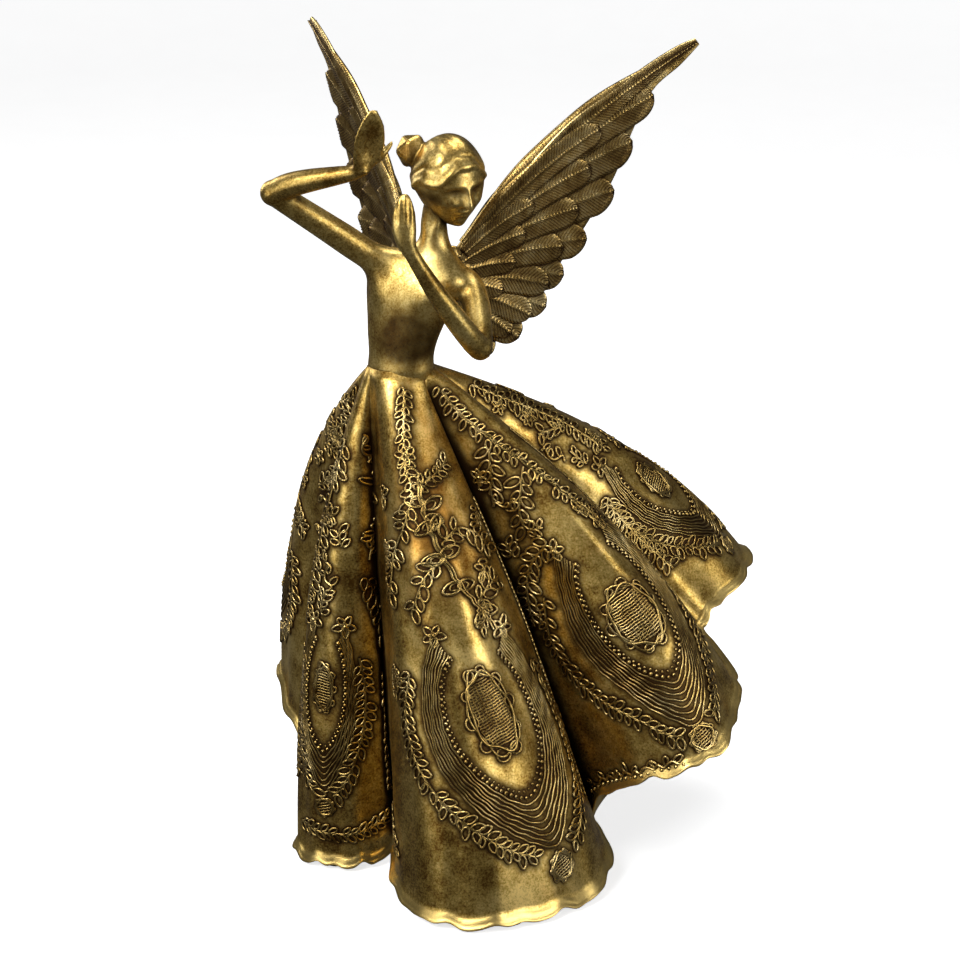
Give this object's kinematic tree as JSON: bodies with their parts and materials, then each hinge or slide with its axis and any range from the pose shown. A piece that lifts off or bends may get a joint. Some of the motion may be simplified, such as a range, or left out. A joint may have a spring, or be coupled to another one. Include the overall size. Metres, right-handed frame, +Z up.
{
  "type": "resin angel figurine",
  "caption": "Standing angel figurine with raised arms, swept feathered wings and a wide lifted, pleated skirt, finished in antique gold.",
  "frame": {"origin": "bottom centre of the bounding box, on the plane the felt pads rest on", "axes": "+Z up through the figure, -Y towards the broad front fold of the skirt, +X towards the lifted side of the skirt and her left wing"},
  "size_m": [0.177, 0.1664, 0.2948],
  "materials": {
    "skirt_gold": "cast resin, antique gold leaf paint with dark umber patina in the folds and reliefs",
    "body_gold": "cast resin, rubbed antique gold leaf paint, satin",
    "wing_gold": "cast resin, darker bronze gold paint with patina between the feather barbs",
    "pin_steel": "drawn steel wire and rod, unpolished",
    "pad_felt": "dark pressed felt"
  },
  "bodies": {
    "root": {"skirt_shell": "skirt_gold", "torso": "body_gold", "head": "body_gold", "right_arm": "body_gold", "left_arm": "body_gold", "right_wing": "wing_gold", "left_wing": "wing_gold", "waist_dowel": "pin_steel", "neck_dowel": "pin_steel", "right_arm_pin": "pin_steel", "left_arm_pin": "pin_steel", "right_wing_pin_upper": "pin_steel", "right_wing_pin_lower": "pin_steel", "left_wing_pin_upper": "pin_steel", "left_wing_pin_lower": "pin_steel", "felt_pad_left": "pad_felt", "felt_pad_front": "pad_felt", "felt_pad_back_right": "pad_felt", "felt_pad_back_left": "pad_felt"}
  },
  "joints": []
}
